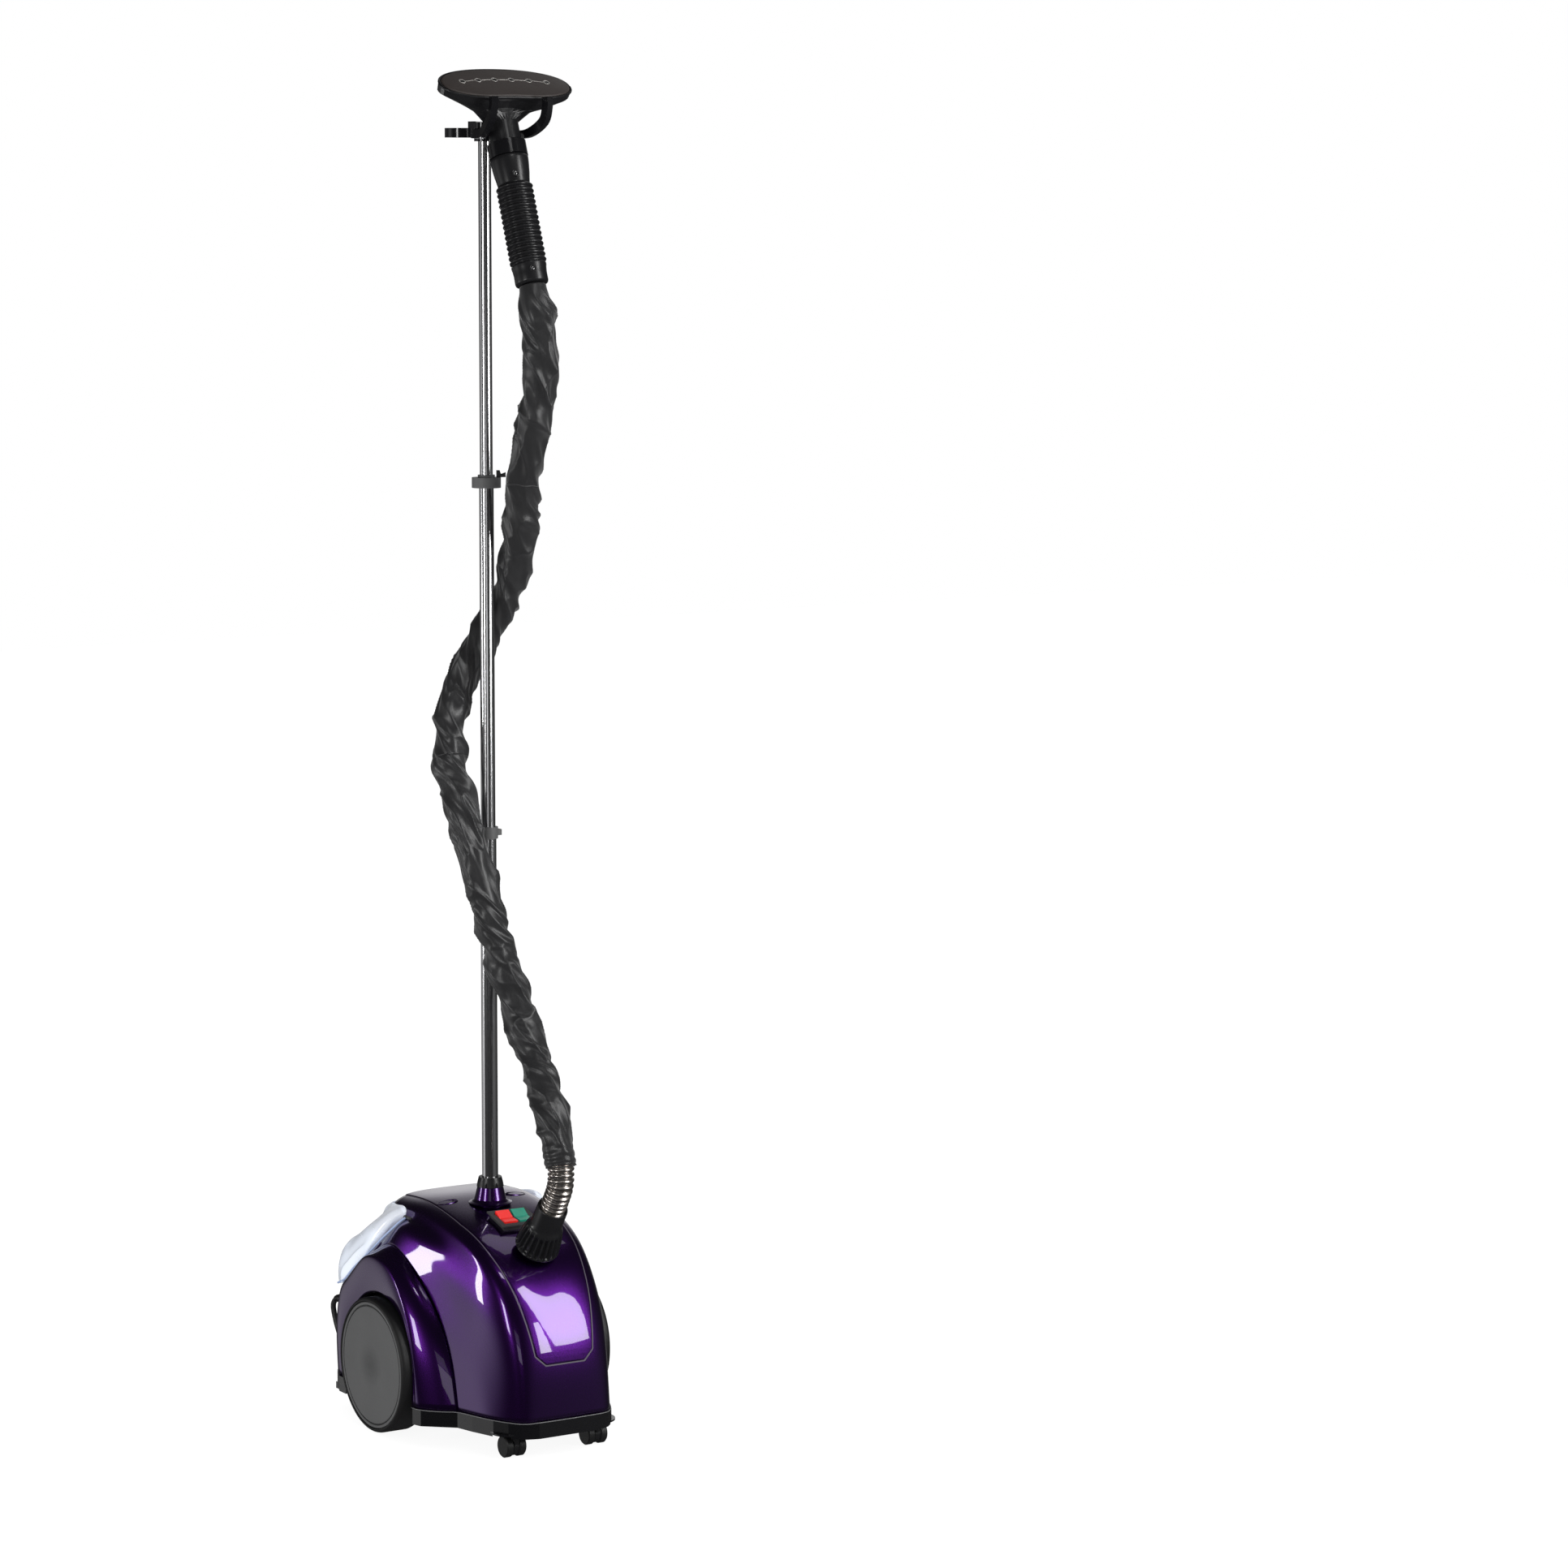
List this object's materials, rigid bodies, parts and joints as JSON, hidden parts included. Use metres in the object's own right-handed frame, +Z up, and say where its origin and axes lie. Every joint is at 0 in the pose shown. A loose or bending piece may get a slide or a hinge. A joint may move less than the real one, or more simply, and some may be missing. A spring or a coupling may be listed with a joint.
{
  "type": "garment steamer",
  "caption": "Upright garment steamer: wheeled purple base with lift-off water tank, telescopic pole with fork, hanger ring, ribbed hand set and steam hose wound round the pole.",
  "frame": {"origin": "on the floor under the middle of the pole", "axes": "+Z up along the pole, -Y out of the front of the base, +X to the right seen from behind the front, along the wheel axle"},
  "size_m": [0.284, 0.4835, 1.5972],
  "materials": {
    "tray_plastic": "moulded, satin",
    "purple_gloss": "deep purple, high gloss",
    "bezel_plastic": "satin",
    "red_plastic": "translucent red, gloss",
    "green_plastic": "translucent green, gloss",
    "black_plastic": "satin black",
    "cast_aluminium": "as cast",
    "bright_steel": "polished",
    "pale_ceramic": "matt",
    "dark_rubber": "matt",
    "pale_rubber": "matt",
    "wire_brown": "satin",
    "tyre_rubber": "matt",
    "satin_grey": "satin dark grey",
    "castor_plastic": "satin",
    "clear_plastic": "clear, faint blue",
    "pale_plastic": "satin",
    "black_gloss": "gloss black",
    "steam_plate": "warm dark grey coating",
    "hose_steel": "bright, warm",
    "sleeve_cloth": "charcoal woven nylon",
    "lead_rubber": "satin black"
  },
  "bodies": {
    "base": {"chassis": "tray_plastic", "front_shell": "purple_gloss", "side_shell_left": "purple_gloss", "side_shell_right": "purple_gloss", "centre_panel": "purple_gloss", "arch_liners": "tray_plastic", "tank_bay": "tray_plastic", "switch_bezel": "bezel_plastic", "switch_bodies": "black_plastic", "boiler": "cast_aluminium", "element": "bright_steel", "thermostat": "bright_steel", "thermal_fuse": "pale_ceramic", "steam_pipe": "dark_rubber", "feed_tube": "pale_rubber", "harness": "wire_brown", "steam_spigot": "black_plastic", "rear_axle": "bright_steel", "axle_clips": "bright_steel", "pole_socket": "purple_gloss", "tube_lower": "bright_steel", "tray_screws": "bright_steel", "cord_gland": "black_plastic", "cord_lead": "lead_rubber", "cord_coil": "lead_rubber", "cord_plug": "lead_rubber", "metal_hose": "hose_steel", "hose_low": "sleeve_cloth"},
    "red_switch": {"rocker_red": "red_plastic"},
    "green_switch": {"rocker_green": "green_plastic"},
    "union_nut": {"hose_nut": "black_plastic"},
    "wheel_left": {"wheel_hub_left": "black_plastic", "wheel_tyre_left": "tyre_rubber", "wheel_disc_left": "satin_grey"},
    "wheel_right": {"wheel_hub_right": "black_plastic", "wheel_tyre_right": "tyre_rubber", "wheel_disc_right": "satin_grey"},
    "castor_left": {"castor_left": "black_plastic"},
    "castor_right": {"castor_right": "black_plastic"},
    "castor_roller_left": {"castor_wheels_left": "castor_plastic"},
    "castor_roller_right": {"castor_wheels_right": "castor_plastic"},
    "tank": {"water_tank": "clear_plastic"},
    "cap": {"tank_cap": "black_plastic"},
    "valve": {"tank_valve": "pale_plastic"},
    "pole_nut": {"pole_nut": "black_plastic"},
    "pole_clip": {"clip_lower": "satin_grey"},
    "pole_middle": {"tube_middle": "bright_steel", "clamp_upper": "satin_grey", "hose_mid": "sleeve_cloth"},
    "pole_lever": {"clamp_lever": "black_plastic"},
    "pole_top": {"tube_top": "bright_steel", "fork": "black_gloss", "hanger_ring": "black_gloss", "hose_top": "sleeve_cloth"},
    "hand_set": {"head": "black_plastic", "steam_plate": "steam_plate", "head_pipe": "bright_steel", "grip": "black_plastic", "grip_collar": "black_gloss", "hand_screws": "bright_steel"}
  },
  "joints": [
    {"name": "wheel_left_spin", "type": "hinge", "parent": "base", "child": "wheel_left", "pos_m": [-0.123, 0.0385, 0.0805], "axis": [1, 0, 0], "continuous": true},
    {"name": "wheel_right_spin", "type": "hinge", "parent": "base", "child": "wheel_right", "pos_m": [0.123, 0.0385, 0.0805], "axis": [1, 0, 0], "continuous": true},
    {"name": "castor_left_swivel", "type": "hinge", "parent": "base", "child": "castor_left", "pos_m": [-0.0545, -0.154, 0.035], "axis": [0, 0, 1], "continuous": true},
    {"name": "castor_left_roll", "type": "hinge", "parent": "castor_left", "child": "castor_roller_left", "pos_m": [-0.0545, -0.147, 0.013], "axis": [1, 0, 0], "continuous": true},
    {"name": "castor_right_swivel", "type": "hinge", "parent": "base", "child": "castor_right", "pos_m": [0.0545, -0.154, 0.035], "axis": [0, 0, 1], "continuous": true},
    {"name": "castor_right_roll", "type": "hinge", "parent": "castor_right", "child": "castor_roller_right", "pos_m": [0.0545, -0.147, 0.013], "axis": [1, 0, 0], "continuous": true},
    {"name": "red_rocker_tilt", "type": "hinge", "parent": "base", "child": "red_switch", "pos_m": [-0.0102, -0.056, 0.2565], "axis": [1, 0, 0], "range_deg": [0, 14]},
    {"name": "green_rocker_tilt", "type": "hinge", "parent": "base", "child": "green_switch", "pos_m": [0.0102, -0.056, 0.2565], "axis": [1, 0, 0], "range_deg": [0, 14]},
    {"name": "union_nut_turn", "type": "hinge", "parent": "base", "child": "union_nut", "pos_m": [0, -0.109, 0.232], "axis": [0, -0.5807, 0.8141], "range_deg": [-540, 0]},
    {"name": "pole_nut_turn", "type": "hinge", "parent": "base", "child": "pole_nut", "pos_m": [0, 0, 0.293], "axis": [0, 0, 1], "range_deg": [0, 360]},
    {"name": "pole_clip_turn", "type": "hinge", "parent": "base", "child": "pole_clip", "pos_m": [0, 0, 0.71], "axis": [0, 0, 1], "range_deg": [0, 90]},
    {"name": "middle_tube_slide", "type": "slide", "parent": "base", "child": "pole_middle", "axis": [0, 0, 1], "range_m": [-0.32, 0], "deforming": ["hose_low", "hose_mid"]},
    {"name": "top_tube_slide", "type": "slide", "parent": "pole_middle", "child": "pole_top", "axis": [0, 0, 1], "range_m": [-0.32, 0], "deforming": ["hose_mid", "hose_top"]},
    {"name": "clamp_lever_turn", "type": "hinge", "parent": "pole_middle", "child": "pole_lever", "pos_m": [0.0123, -0.0068, 1.128], "axis": [0, 0, 1], "range_deg": [0, 90]},
    {"name": "hand_set_lift", "type": "slide", "parent": "pole_top", "child": "hand_set", "axis": [0, -0.6402, 0.7682], "range_m": [0, 0.08], "deforming": ["hose_top"]},
    {"name": "tank_lift", "type": "slide", "parent": "base", "child": "tank", "axis": [0, 0, 1], "range_m": [0, 0.2]},
    {"name": "tank_cap_turn", "type": "hinge", "parent": "tank", "child": "cap", "pos_m": [0, 0.14, 0.235], "axis": [0, 0, 1], "range_deg": [0, 90]},
    {"name": "tank_valve_push", "type": "slide", "parent": "tank", "child": "valve", "axis": [0, 0, 1], "range_m": [-0.004, 0]}
  ],
  "couplings": [
    {"joint": "tank_valve_push", "follows": "tank_lift", "ratio": -0.02}
  ]
}
